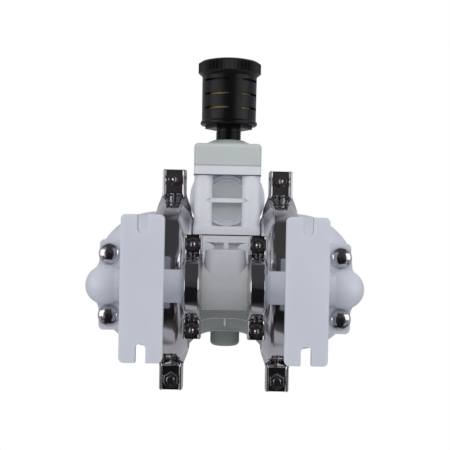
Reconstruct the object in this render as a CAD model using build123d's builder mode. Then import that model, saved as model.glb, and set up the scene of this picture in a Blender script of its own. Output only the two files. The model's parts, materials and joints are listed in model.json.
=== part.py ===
"""Air operated double diaphragm pump, small clamped plastic pattern, as separate pieces.

Frame, in mm: feet on z = 0, shaft along X, muffler towards -Y, air inlet towards +Y.
"Rise" is a height above the shaft axis, "reach" a distance towards -Y from it.
"""

import os
from math import cos, pi, radians, sin, sqrt

from build123d import *

os.makedirs("parts", exist_ok=True)

# Where the axes lie
shaft_z = 98.0
manifold_rise = 70.0
joint_rise = 52.0
diaphragm_x = 37.2
valve_x = 75.0
bolt_x = 73.1
tee_joint_x = 20.3
spool_reach = 55.5
pilot_rise = -16.0

# Clearances
seat_gap = 0.05
plug_gap = 0.1
run_gap = 0.04
ball_gap = 0.3
rim_gap = 0.3
split_gap = 4.0
small_split_gap = 3.0

# Travel of the moving pieces, each way from the middle or up from the seat
stroke = 6.0
pilot_travel = 3.0
spool_travel = 4.5
ball_lift = 4.0

# Socket screws and nuts of the clamps and of the air valve (No. 10)
screw_r = 2.41
screw_hole_r = 2.7
screw_head_r = 3.97
screw_head_h = 4.83
socket_af = 3.97
socket_depth = 2.6
nut_af = 9.53
nut_h = 3.3
screw_beyond = 2.2

# Cup head square neck bolts and nuts of the liquid flanges (M5)
bolt_r = 2.5
bolt_hole_r = 2.75
cup_r = 6.85
cup_h = 3.3
square_neck = 5.0
square_depth = 2.5
bolt_nut_af = 8.0
bolt_nut_h = 4.0
bolt_y = 19.35

# Shaft, pistons and diaphragms
shaft_r = 6.0
stud_r = 4.0
stud_depth = 12.0
piston_r = 20.0
inner_piston_x = 28.0
outer_piston_r = 19.0
outer_piston_h = 8.0
membrane_t = 2.0
fold_h = 3.6
bead_t = 4.4
bead_in_r = 48.6
bead_out_r = 52.4
dish_r = 45.6
dish_floor_r = 30.0
seal_x = 14.0
seal_w = 2.6
seal_r = 8.4

# Wedge section of the large clamps: half widths about the diaphragm plane, and radii
wedge_out_x = 5.5
wedge_out_r = 54.2
wedge_in_x = 10.6
wedge_in_r = 47.9
band_t = 1.6
lug_w = 17.0
lug_t = 2.0
lug_side_t = 1.5
lug_end_y = 77.1
lug_bolt_y = 70.0

# Wedge section of the small clamps
small_out_x = 2.75
small_out_r = 18.2
small_in_x = 5.0
small_in_r = 15.4
small_band_t = 1.2
small_lug_w = 12.0
small_lug_t = 1.5
small_lug_side_t = 1.2
small_lug_end_y = 32.5
small_lug_bolt_y = 26.7

# Liquid chambers: the dome is an arc about (dome_x, dome_rise), given in degrees from +X
chamber_end_x = 86.6
chamber_wall = 4.2
dome_x = 48.1
dome_rise = 4.3
dome_radius = 43.3
dome_from = 87.6
dome_to = 33.5
dome_edge_r = 25.0
flange_in_x = 57.0
flange_out_x = 79.4
flange_half_y = 28.6
flange_corner = 3.2
flange_blend_r = 11.0
flange_collar = 0.05
chamber_flange_t = 8.0
nut_pocket_r = 5.6
tower_r = 12.0
ball_bore_r = 7.2
outlet_bore_r = 6.5

# Balls and seats
ball_r = 5.56
seat_r = 10.2
seat_h = 3.5
seat_hole_r = 4.3
seat_chamfer = 0.8
stop_w = 2.4
stop_h = 3.4
stop_rib_half = 6.0

# O-rings
ring_r = 0.9
ring_groove_w = 1.9
seat_ring_r = 8.6
tee_ring_r = 11.0

# Manifolds
tube_r = 10.45
tube_bore_r = 7.5
elbow_end_r = 12.3
elbow_flange_t = 14.0
tee_r = 14.4
tee_half_x = 15.0
branch_r = 12.2
branch_end = 23.6
branch_edge = 1.3
branch_blend_r = 2.4
port_r = 6.6
port_depth = 13.0

# Feet
foot_x = 49.5
foot_w = 26.0
foot_l = 88.8
foot_t = 7.0
foot_corner = 3.0
foot_slot_w = 6.4
foot_slot_depth = 11.5
pedestal_w = 16.0
pedestal_half_y = 11.0

# Centre section
waist_r = 36.0
waist_half = 7.0
waist_end_x = 25.2
waist_end_r = 45.6
waist_rib_h = 0.9
waist_rib_w = 1.7
pad_half_x = 22.6
pad_half_z = 31.0
pad_reach = 31.6
pad_root_reach = 8.0
pad_clear_x = 23.6
pocket_rib_half = 1.6
pocket_reach = (18.0, 27.0)
pocket_wide = 13.2
pocket_narrow = 8.2
boss_r = 10.2
boss_end = 45.5
boss_root = 20.0
boss_edge = 3.0
inlet_port_depth = 12.0
passage_r = 2.4
supply_r = 3.5
supply_pitch = 8.0
pilot_sleeve_r = 7.0
pilot_r = 4.0

# Air valve
gasket_t = 0.8
valve_flange_t = 5.6
valve_half_x = 22.7
column_x = 16.2
column_rise = 24.5
column_r = 6.2
barrel_r = 17.4
barrel_half = 17.2
end_boss_r = 14.3
end_boss_half = 18.0
end_recess = 1.1
spool_r = 9.0
spool_half = 11.0
cap_r = 9.85
cap_bar_half = 14.2
cap_bar_w = 2.8
cap_bar_out = 27.5
disc_r = 26.0
disc_offset = 1.5
disc_half = 9.0
valve_front_depth = 22.9

# Muffler and the plate that it screws into
plate_t = 14.7
plate_dome_root_r = 20.0
plate_dome_h = 4.3
plate_edge_r = 2.9
neck_r = 8.45
neck_engaged = 12.2
neck_shown = 8.1
muffler_bore_r = 5.5
muffler_hex_af = 28.6
muffler_hex_h = 2.3
rim_r = 19.9
rim_h = 3.2
shell_r = 19.0
shell_in_r = 16.2
shell_l = 31.0
slot_first = 8.2
slot_pitch = 9.6
slot_rows = 3
slot_w = 1.4
slot_rib_deg = 29.0
slot_first_rib_deg = 14.0
element_r = 15.0
cap_taper_h = 1.2
cap_h = 10.1
knurl_r = 22.0
knurl_depth = 0.8
knurl_count = 50

# Sizes that follow from the ones above
socket_seat_rise = split_gap / 2 + lug_t
small_seat_rise = small_split_gap / 2 + small_lug_t
ball_rest = sqrt(ball_r**2 - seat_hole_r**2) - seat_chamfer + ball_gap
membrane_in_x = diaphragm_x - membrane_t / 2
membrane_out_x = diaphragm_x + membrane_t / 2
valve_rear_reach = pad_reach + gasket_t
disc_reach = spool_reach + disc_offset
valve_front_reach = spool_reach + valve_front_depth
plate_rear_reach = valve_front_reach + gasket_t
plate_front_reach = plate_rear_reach + plate_t
dish_floor_x = inner_piston_x - stroke - 2.0
pilot_half = dish_floor_x + pilot_travel + 1.4
spool_bore_half = spool_half + spool_travel + 0.5
plate_dome_reach = plate_front_reach + plate_dome_h
tie_seat_reach = plate_front_reach - screw_head_h - 0.6
tie_end_reach = 20.0
neck_in_reach = plate_dome_reach - neck_engaged
neck_out_reach = plate_dome_reach + neck_shown
rim_low_reach = neck_out_reach + muffler_hex_h
rim_high_reach = rim_low_reach + rim_h
shell_end_reach = rim_high_reach + shell_l
cap_base_reach = shell_end_reach + cap_taper_h
cap_end_reach = cap_base_reach + cap_h

# Planes and axes
shaft_plane = Plane((0, 0, shaft_z), x_dir=(1, 0, 0), z_dir=(0, -1, 0))
shaft_axis = Axis((0, 0, shaft_z), (1, 0, 0))
reach_plane = Plane((0, 0, shaft_z), x_dir=(0, -1, 0), z_dir=(-1, 0, 0))
reach_axis = Axis((0, 0, shaft_z), (0, -1, 0))
sides = (("left", -1), ("right", 1))
halves = (("lower", -1), ("upper", 1))


def at(x, y, rise):
    return (x, y, shaft_z + rise)


def keep(piece, name):
    piece.part.label = name
    export_step(piece.part, f"parts/{name}.step")


def outline(plane, points):
    with BuildSketch(plane) as sketch:
        with BuildLine():
            Polyline(*points, close=True)
        make_face()
    return sketch.sketch


def turn(plane, axis, points, mode=Mode.ADD):
    revolve(outline(plane, points), axis=axis, mode=mode)


def rod(start, end, radius, mode=Mode.ADD):
    along = Vector(end) - Vector(start)
    with BuildSketch(Plane(start, z_dir=along)) as sketch:
        Circle(radius)
    extrude(sketch.sketch, amount=along.length, mode=mode)


def block(low, high, mode=Mode.ADD):
    size = [abs(b - a) for a, b in zip(low, high)]
    centre = [(a + b) / 2 for a, b in zip(low, high)]
    with Locations(tuple(centre)):
        Box(*size, mode=mode)


def hex_bar(start, toward, across, length, mode=Mode.ADD, turned=0):
    with BuildSketch(Plane(start, x_dir=(1, 0, 0), z_dir=toward)) as sketch:
        RegularPolygon(across / 2, 6, major_radius=False, rotation=turned)
    extrude(sketch.sketch, amount=length, mode=mode)


def cap_screw(seat, toward, length):
    seat, toward = Vector(seat), Vector(toward)
    top = seat - toward * screw_head_h
    rod(top, seat, screw_head_r)
    rod(seat, seat + toward * length, screw_r)
    hex_bar(top, toward, socket_af, socket_depth, Mode.SUBTRACT)


def nut(seat, toward, across, height, hole_r):
    seat, toward = Vector(seat), Vector(toward)
    hex_bar(seat, toward, across, height, turned=30)
    rod(seat, seat + toward * height, hole_r + seat_gap, Mode.SUBTRACT)


def upright_plate(reach, depth, half_x, half_z, corner):
    """Sketch for a plate that faces -Y, set at a reach and thickened towards -Y."""
    with BuildSketch(Plane(at(0, -reach, 0), x_dir=(1, 0, 0), z_dir=(0, -1, 0))) as sketch:
        RectangleRounded(2 * half_x, 2 * half_z, corner)
    extrude(sketch.sketch, amount=depth)


def flat_plate(z_low, z_high, low, high, corner):
    with BuildSketch(Plane.XY.offset(z_low)) as sketch:
        with Locations(((low[0] + high[0]) / 2, (low[1] + high[1]) / 2)):
            RectangleRounded(abs(high[0] - low[0]), high[1] - low[1], corner)
    extrude(sketch.sketch, amount=z_high - z_low)


def port_flange(z_low, z_high):
    """Flange round a valve tower, its outer side blended into the tower's round."""
    with BuildSketch(Plane.XY.offset(z_low)) as plan:
        with Locations(((flange_in_x + flange_out_x) / 2, 0)):
            RectangleRounded(flange_out_x - flange_in_x, 2 * flange_half_y, flange_corner)
        with Locations((valve_x, 0)):
            Circle(tower_r + flange_collar)
        corners = [v for v in plan.vertices() if abs(v.X - flange_out_x) < 0.01 and abs(v.Y) < tower_r]
        fillet(corners, flange_blend_r)
    extrude(plan.sketch, amount=z_high - z_low)


def ring(plane, axis, centre, sides=8):
    """O-ring turned from a many-sided section."""
    with BuildSketch(plane) as section:
        with Locations(centre):
            RegularPolygon(ring_r, sides, rotation=180 / sides)
    revolve(section.sketch, axis=axis)


def dome_point(degrees, inset=0.0):
    radius = dome_radius - inset
    return (dome_x + radius * cos(radians(degrees)), dome_rise + radius * sin(radians(degrees)))


def cap_bar(half_tip, half_w):
    shoulder = half_tip - 3
    return [
        (-half_tip, 0),
        (-shoulder, half_w),
        (shoulder, half_w),
        (half_tip, 0),
        (shoulder, -half_w),
        (-shoulder, -half_w),
    ]


def column_points():
    return [(sx * column_x, sz * column_rise) for sx in (-1, 1) for sz in (-1, 1)]


# Centre section: hourglass between two air dishes, with the valve pad and the inlet boss
with BuildPart() as center_section:
    with BuildSketch(shaft_plane) as hourglass:
        with BuildLine():
            Line((0, waist_r), (waist_half, waist_r))
            TangentArc((waist_half, waist_r), (waist_end_x, waist_end_r), tangent=(1, 0))
            Polyline(
                (waist_end_x, waist_end_r),
                (diaphragm_x - wedge_in_x, wedge_in_r),
                (diaphragm_x - wedge_out_x, wedge_out_r),
                (diaphragm_x - rim_gap / 2, wedge_out_r),
                (diaphragm_x - rim_gap / 2, 0),
                (0, 0),
                (0, waist_r),
            )
        make_face()
    revolve(axis=shaft_axis)
    mirror(about=Plane.YZ)
    # Short moulded ribs on the waist's rear, under and over the inlet boss
    rib_half, rib_top = waist_rib_w / 2, waist_r + waist_rib_h
    rib = outline(
        shaft_plane, [(-rib_half, 30), (rib_half, 30), (rib_half, rib_top), (-rib_half, rib_top)]
    )
    for start_deg in (225, 295):
        revolve(rib.rotate(shaft_axis, start_deg), axis=shaft_axis, revolution_arc=20)
    upright_plate(pad_root_reach, pad_reach - pad_root_reach, pad_half_x, pad_half_z, 3)
    block(
        at(-pad_clear_x, -pad_reach, -pad_half_z - 1),
        at(pad_clear_x, -wedge_out_r, pad_half_z + 1),
        Mode.SUBTRACT,
    )
    rod(at(0, boss_root, 0), at(0, boss_end, 0), boss_r)
    fillet(center_section.edges().filter_by(GeomType.CIRCLE).sort_by(Axis.Y)[-1], boss_edge)
    for side in (-1, 1):
        turn(
            shaft_plane,
            shaft_axis,
            [
                (side * dish_floor_x, 0),
                (side * dish_floor_x, dish_floor_r),
                (side * (dish_floor_x + 5.6), dish_r - 5.4),
                (side * membrane_in_x, dish_r),
                (side * membrane_in_x, bead_in_r - plug_gap),
                (side * (diaphragm_x - bead_t / 2), bead_in_r - plug_gap),
                (side * (diaphragm_x - bead_t / 2), bead_out_r + plug_gap),
                (side * diaphragm_x, bead_out_r + plug_gap),
                (side * diaphragm_x, 0),
            ],
            Mode.SUBTRACT,
        )
    # Shaft bore with two seal grooves, and the pilot sleeve's bore below it
    rod(at(-dish_floor_x, 0, 0), at(dish_floor_x, 0, 0), shaft_r + run_gap, Mode.SUBTRACT)
    for side in (-1, 1):
        x_low = side * seal_x - seal_w / 2
        rod(at(x_low, 0, 0), at(x_low + seal_w, 0, 0), seal_r + seat_gap, Mode.SUBTRACT)
    rod(
        at(-dish_floor_x, 0, pilot_rise),
        at(dish_floor_x, 0, pilot_rise),
        pilot_sleeve_r + seat_gap,
        Mode.SUBTRACT,
    )
    # Supply air: from the inlet boss over the shaft to the middle of the valve pad
    rod(at(0, boss_end, 0), at(0, boss_end - inlet_port_depth, 0), port_r, Mode.SUBTRACT)
    rod(at(0, boss_end - inlet_port_depth, 0), at(0, 13, 0), 5.0, Mode.SUBTRACT)
    rod(at(0, 15, 0), at(0, 15, 14), supply_r, Mode.SUBTRACT)
    rod(at(0, 17, 14), at(0, -26, 14), supply_r, Mode.SUBTRACT)
    rod(at(0, -24, 16), at(0, -24, 0), supply_r, Mode.SUBTRACT)
    rod(at(0, -22, 0), at(0, -pad_reach, 0), supply_r - 0.5, Mode.SUBTRACT)
    # Drive air: one passage to each dish
    for side in (-1, 1):
        rod(at(0, -pad_reach, 8 * side), at(0, -25.5, 8 * side), passage_r, Mode.SUBTRACT)
        rod(at(0, -27, 8 * side), at(side * 21, -27, 8 * side), passage_r, Mode.SUBTRACT)
    # Blind holes for the tie screws, and the two moulded pockets under the pad
    for x, rise in column_points():
        rod(at(x, -pad_reach, rise), at(x, -tie_end_reach + 1, rise), screw_r + seat_gap, Mode.SUBTRACT)
    # Pockets either side of a centre rib, wide at the pad's face and narrow behind
    for side in (-1, 1):
        pocket = outline(
            Plane(at(0, 0, -pad_half_z - 1), x_dir=(1, 0, 0), z_dir=(0, 0, 1)),
            [
                (side * pocket_rib_half, -pocket_reach[0]),
                (side * pocket_rib_half, -pocket_reach[1]),
                (side * pocket_wide, -pocket_reach[1]),
                (side * (pocket_wide - 3.4), -pocket_reach[1] + 0.8),
                (side * pocket_narrow, -pocket_reach[1] + 2.2),
                (side * pocket_narrow, -pocket_reach[0]),
            ],
        )
        extrude(pocket, amount=6, mode=Mode.SUBTRACT)
keep(center_section, "center_section")

# Shaft group
with BuildPart() as main_shaft:
    rod(at(-inner_piston_x, 0, 0), at(inner_piston_x, 0, 0), shaft_r)
    for side in (-1, 1):
        rod(
            at(side * inner_piston_x, 0, 0),
            at(side * (inner_piston_x - stud_depth - 1), 0, 0),
            stud_r + seat_gap,
            Mode.SUBTRACT,
        )
keep(main_shaft, "main_shaft")

with BuildPart() as shaft_seals:
    for side in (-1, 1):
        x_low = side * seal_x - seal_w / 2
        rod(at(x_low, 0, 0), at(x_low + seal_w, 0, 0), seal_r)
        rod(at(x_low, 0, 0), at(x_low + seal_w, 0, 0), shaft_r + run_gap / 2, Mode.SUBTRACT)
keep(shaft_seals, "shaft_seals")

for name, side in sides:
    with BuildPart() as inner_piston:
        x_in, x_out = side * inner_piston_x, side * membrane_in_x
        turn(
            shaft_plane,
            shaft_axis,
            [
                (x_in, 0),
                (x_in, piston_r - 2),
                (x_in + side * 1.5, piston_r - 0.5),
                (x_out - side * 3, piston_r),
                (x_out - side * 1, piston_r - 0.4),
                (x_out, piston_r - 1.6),
                (x_out, 0),
            ],
        )
        rod(at(x_in, 0, 0), at(x_out, 0, 0), stud_r + seat_gap, Mode.SUBTRACT)
    keep(inner_piston, f"inner_piston_{name}")

    with BuildPart() as outer_piston:
        x_in = side * membrane_out_x
        x_out = x_in + side * outer_piston_h
        turn(
            shaft_plane,
            shaft_axis,
            [
                (x_in, 0),
                (x_in, outer_piston_r - 1.2),
                (x_in + side * 1.0, outer_piston_r),
                (x_in + side * 2.6, outer_piston_r),
                (x_in + side * 5.5, outer_piston_r - 5),
                (x_in + side * 7.2, outer_piston_r - 10),
                (x_out, outer_piston_r - 14),
                (x_out, 0),
            ],
        )
        rod(at(x_in, 0, 0), at(side * (inner_piston_x - stud_depth), 0, 0), stud_r)
    keep(outer_piston, f"outer_piston_{name}")

    with BuildPart() as diaphragm:
        low, high = side * membrane_in_x, side * membrane_out_x
        fold = side * fold_h
        bead = bead_t / 2
        turn(
            shaft_plane,
            shaft_axis,
            [
                (low, stud_r + seat_gap),
                (low, 24),
                (low + fold, 31),
                (low + fold, 38),
                (low, 44),
                (low, bead_in_r),
                (side * (diaphragm_x - bead), bead_in_r),
                (side * (diaphragm_x - bead), bead_out_r),
                (side * (diaphragm_x + bead), bead_out_r),
                (side * (diaphragm_x + bead), bead_in_r),
                (high, bead_in_r),
                (high, 45),
                (high + fold, 39),
                (high + fold, 30),
                (high, 23),
                (high, stud_r + seat_gap),
            ],
        )
    keep(diaphragm, f"diaphragm_{name}")

# Pilot valve, shifted by the inner pistons
with BuildPart() as pilot_sleeve:
    rod(at(-dish_floor_x, 0, pilot_rise), at(dish_floor_x, 0, pilot_rise), pilot_sleeve_r)
    rod(
        at(-dish_floor_x, 0, pilot_rise),
        at(dish_floor_x, 0, pilot_rise),
        pilot_r + run_gap,
        Mode.SUBTRACT,
    )
    for x in (-9, 0, 9):
        turn(
            Plane(at(0, 0, pilot_rise), x_dir=(1, 0, 0), z_dir=(0, -1, 0)),
            Axis(at(0, 0, pilot_rise), (1, 0, 0)),
            [(x - 1.5, 5.8), (x + 1.5, 5.8), (x + 1.5, 8), (x - 1.5, 8)],
            Mode.SUBTRACT,
        )
        rod(at(x, 0, pilot_rise - 8), at(x, 0, pilot_rise + 8), 1.0, Mode.SUBTRACT)
keep(pilot_sleeve, "pilot_sleeve")

with BuildPart() as pilot_spool:
    rod(at(-pilot_half, 0, pilot_rise), at(pilot_half, 0, pilot_rise), pilot_r)
    for x in (-8.5, 0, 8.5):
        turn(
            Plane(at(0, 0, pilot_rise), x_dir=(1, 0, 0), z_dir=(0, -1, 0)),
            Axis(at(0, 0, pilot_rise), (1, 0, 0)),
            [(x - 2.5, 2.6), (x + 2.5, 2.6), (x + 2.5, 5), (x - 2.5, 5)],
            Mode.SUBTRACT,
        )
keep(pilot_spool, "pilot_spool")

# Air valve: flanged body round an upright spool, closed by two bayonet caps
valve_depth = valve_front_reach - valve_rear_reach
valve_mid_reach = (valve_front_reach + valve_rear_reach) / 2
with BuildPart() as air_valve_body:
    upright_plate(valve_rear_reach, valve_flange_t, valve_half_x, pad_half_z, 3)
    upright_plate(
        valve_front_reach - valve_flange_t, valve_flange_t, valve_half_x, pad_half_z, 3
    )
    with BuildSketch(Plane.XY.offset(shaft_z - disc_half)) as disc:
        with Locations((0, -disc_reach)):
            Circle(disc_r)
        with Locations((0, -valve_mid_reach)):
            Rectangle(2 * disc_r, valve_depth - valve_flange_t, mode=Mode.INTERSECT)
    extrude(amount=2 * disc_half)
    with BuildSketch(Plane.XY.offset(shaft_z - disc_half - 1.4)) as inner_disc:
        with Locations((0, -disc_reach)):
            Circle(disc_r - 1.6)
        with Locations((0, -valve_mid_reach)):
            Rectangle(2 * disc_r, valve_depth - valve_flange_t, mode=Mode.INTERSECT)
    extrude(amount=2 * (disc_half + 1.4))
    rod(at(0, -spool_reach, -barrel_half), at(0, -spool_reach, barrel_half), barrel_r)
    rod(at(0, -spool_reach, -end_boss_half), at(0, -spool_reach, end_boss_half), end_boss_r)
    block(at(-14, -valve_rear_reach - 2, -15), at(14, -valve_front_reach + 2, 15))
    for x, rise in column_points():
        out = 1 if rise > 0 else -1
        rod(at(x, -valve_rear_reach - 2, rise), at(x, -valve_front_reach + 2, rise), column_r)
        block(
            at(x - 3.4, -valve_rear_reach - 2, out * 14),
            at(x + 3.4, -valve_front_reach + 2, rise),
        )
    rod(
        at(0, -spool_reach, -end_boss_half), at(0, -spool_reach, end_boss_half),
        spool_r + run_gap, Mode.SUBTRACT,
    )
    for out in (-1, 1):
        rod(
            at(0, -spool_reach, out * spool_bore_half),
            at(0, -spool_reach, out * end_boss_half),
            cap_r + seat_gap,
            Mode.SUBTRACT,
        )
        cap_face = out * (end_boss_half - end_recess)
        rod(
            at(0, -spool_reach, cap_face), at(0, -spool_reach, out * (end_boss_half + 0.2)),
            end_boss_r, Mode.SUBTRACT,
        )
        slot_plane = Plane(at(0, -spool_reach, cap_face), x_dir=(1, 0, 0), z_dir=(0, 0, out))
        extrude(
            outline(slot_plane, cap_bar(cap_bar_half + plug_gap, cap_bar_w / 2 + plug_gap)),
            amount=16,
            mode=Mode.SUBTRACT,
        )
        rod(
            at(0, -valve_rear_reach, out * supply_pitch), at(0, -spool_reach, out * supply_pitch),
            passage_r, Mode.SUBTRACT,
        )
    rod(at(0, -valve_rear_reach, 0), at(0, -spool_reach, 0), supply_r - 0.5, Mode.SUBTRACT)
    rod(at(0, -spool_reach, 0), at(0, -valve_front_reach, 0), muffler_bore_r, Mode.SUBTRACT)
    for x, rise in column_points():
        rod(
            at(x, -valve_rear_reach, rise), at(x, -valve_front_reach, rise),
            screw_hole_r, Mode.SUBTRACT,
        )
keep(air_valve_body, "air_valve_body")

with BuildPart() as air_valve_spool:
    land, waist = spool_r, 6.4
    turn(
        Plane(at(0, -spool_reach, 0), x_dir=(1, 0, 0), z_dir=(0, -1, 0)),
        Axis(at(0, -spool_reach, 0), (0, 0, 1)),
        [
            (0, -spool_half),
            (land - 0.6, -spool_half),
            (land, -spool_half + 0.6),
            (land, -6.5),
            (waist, -6.5),
            (waist, -2.6),
            (land, -2.6),
            (land, 2.6),
            (waist, 2.6),
            (waist, 6.5),
            (land, 6.5),
            (land, spool_half - 0.6),
            (land - 0.6, spool_half),
            (0, spool_half),
        ],
    )
keep(air_valve_spool, "air_valve_spool")

for name, out in halves:
    with BuildPart() as end_cap:
        cap_face = end_boss_half - end_recess
        rod(
            at(0, -spool_reach, out * spool_bore_half),
            at(0, -spool_reach, out * (cap_face + 0.1)),
            cap_r,
        )
        low, high = sorted((out * (cap_face + 0.05), out * cap_bar_out))
        bar_plane = Plane(at(0, -spool_reach, low), x_dir=(1, 0, 0), z_dir=(0, 0, 1))
        extrude(outline(bar_plane, cap_bar(cap_bar_half, cap_bar_w / 2)), amount=high - low)
    keep(end_cap, f"end_cap_{name}")

with BuildPart() as valve_gasket:
    upright_plate(pad_reach, gasket_t, valve_half_x - 0.6, pad_half_z - 0.6, 3)
    for x, rise in column_points():
        rod(
            at(x, -pad_reach, rise), at(x, -valve_rear_reach, rise),
            screw_hole_r + 0.2, Mode.SUBTRACT,
        )
    for rise in (-supply_pitch, 0, supply_pitch):
        rod(at(0, -pad_reach, rise), at(0, -valve_rear_reach, rise), supply_r, Mode.SUBTRACT)
keep(valve_gasket, "valve_gasket")

with BuildPart() as muffler_gasket:
    upright_plate(valve_front_reach, gasket_t, valve_half_x - 0.6, pad_half_z - 0.6, 3)
    for x, rise in column_points():
        rod(
            at(x, -valve_front_reach, rise), at(x, -plate_rear_reach, rise),
            screw_hole_r + 0.2, Mode.SUBTRACT,
        )
    rod(at(0, -valve_front_reach, 0), at(0, -plate_rear_reach, 0), 7.0, Mode.SUBTRACT)
keep(muffler_gasket, "muffler_gasket")

with BuildPart() as muffler_plate:
    upright_plate(plate_rear_reach, plate_t, valve_half_x, pad_half_z, 3)
    front_edges = muffler_plate.edges().group_by(Axis.Y)[0]
    fillet(front_edges, plate_edge_r)
    turn(
        reach_plane,
        reach_axis,
        [
            (plate_rear_reach + 4, 0),
            (plate_rear_reach + 4, plate_dome_root_r),
            (plate_front_reach - 0.6, plate_dome_root_r),
            (plate_front_reach + 1.2, 17.5),
            (plate_front_reach + 3.0, 13.5),
            (plate_dome_reach, 10.8),
            (plate_dome_reach, 0),
        ],
    )
    rod(at(0, -plate_dome_reach, 0), at(0, -neck_in_reach, 0), neck_r + seat_gap, Mode.SUBTRACT)
    rod(at(0, -plate_rear_reach, 0), at(0, -neck_in_reach, 0), 7.0, Mode.SUBTRACT)
    for x, rise in column_points():
        rod(
            at(x, -plate_rear_reach, rise), at(x, -tie_seat_reach, rise),
            screw_hole_r, Mode.SUBTRACT,
        )
        rod(
            at(x, -tie_seat_reach, rise), at(x, -plate_dome_reach, rise),
            screw_head_r + 0.4, Mode.SUBTRACT,
        )
keep(muffler_plate, "muffler_plate")

with BuildPart() as valve_screws:
    for x, rise in column_points():
        cap_screw(at(x, -tie_seat_reach, rise), (0, 1, 0), tie_seat_reach - tie_end_reach)
keep(valve_screws, "valve_screws")

# Muffler: threaded neck, hexagon, slotted shell, knurled cap, porous element
with BuildPart() as muffler_body:
    rod(at(0, -neck_in_reach, 0), at(0, -neck_out_reach - 1, 0), neck_r)
    hex_bar(at(0, -neck_out_reach, 0), (0, -1, 0), muffler_hex_af, rim_low_reach - neck_out_reach + 1)
    turn(
        reach_plane,
        reach_axis,
        [
            (rim_low_reach, 0),
            (rim_low_reach, rim_r - 0.8),
            (rim_low_reach + 0.8, rim_r),
            (rim_high_reach - 0.8, rim_r),
            (rim_high_reach, shell_r),
            (shell_end_reach, shell_r + 0.2),
            (shell_end_reach, 0),
        ],
    )
    rod(at(0, -rim_high_reach - 1.2, 0), at(0, -shell_end_reach, 0), shell_in_r, Mode.SUBTRACT)
    rod(at(0, -neck_in_reach, 0), at(0, -rim_high_reach - 2, 0), muffler_bore_r, Mode.SUBTRACT)
    for row in range(slot_rows):
        reach = rim_high_reach + slot_first + row * slot_pitch
        for turn_deg in range(0, 360, 90):
            start_deg = turn_deg + slot_first_rib_deg + slot_rib_deg / 2
            with BuildSketch(reach_plane) as slot:
                with Locations((reach, (shell_in_r + shell_r) / 2)):
                    Rectangle(slot_w, shell_r - shell_in_r + 2)
            cutter = slot.sketch.rotate(reach_axis, start_deg + 180)
            revolve(cutter, axis=reach_axis, revolution_arc=90 - slot_rib_deg, mode=Mode.SUBTRACT)
keep(muffler_body, "muffler_body")

with BuildPart() as muffler_cap:
    turn(
        reach_plane,
        reach_axis,
        [
            (shell_end_reach, 0),
            (shell_end_reach, shell_r + 0.2),
            (cap_base_reach, knurl_r - knurl_depth - 0.9),
            (cap_base_reach + 0.8, knurl_r - knurl_depth),
            (cap_end_reach - 2.2, knurl_r - knurl_depth),
            (cap_end_reach - 0.9, knurl_r - knurl_depth - 1.4),
            (cap_end_reach, knurl_r - knurl_depth - 5),
            (cap_end_reach, 0),
        ],
    )
    step = pi / knurl_count
    crest = [
        ((knurl_r - knurl_depth * (i % 2)) * cos(i * step), (knurl_r - knurl_depth * (i % 2)) * sin(i * step))
        for i in range(2 * knurl_count)
    ]
    knurl_plane = Plane(at(0, -cap_base_reach - 1.2, 0), x_dir=(1, 0, 0), z_dir=(0, -1, 0))
    extrude(outline(knurl_plane, crest), amount=cap_end_reach - cap_base_reach - 3.4)
    rod(
        at(0, -shell_end_reach, 0),
        at(0, -shell_end_reach + 4, 0),
        shell_in_r - plug_gap,
    )
keep(muffler_cap, "muffler_cap")

with BuildPart() as muffler_element:
    element_base = rim_high_reach + 1.2
    element_end = shell_end_reach - 4
    rod(at(0, -element_base, 0), at(0, -element_end, 0), element_r)
    rod(at(0, -element_base, 0), at(0, -element_end + 3, 0), 9.0, Mode.SUBTRACT)
keep(muffler_element, "muffler_element")

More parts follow.
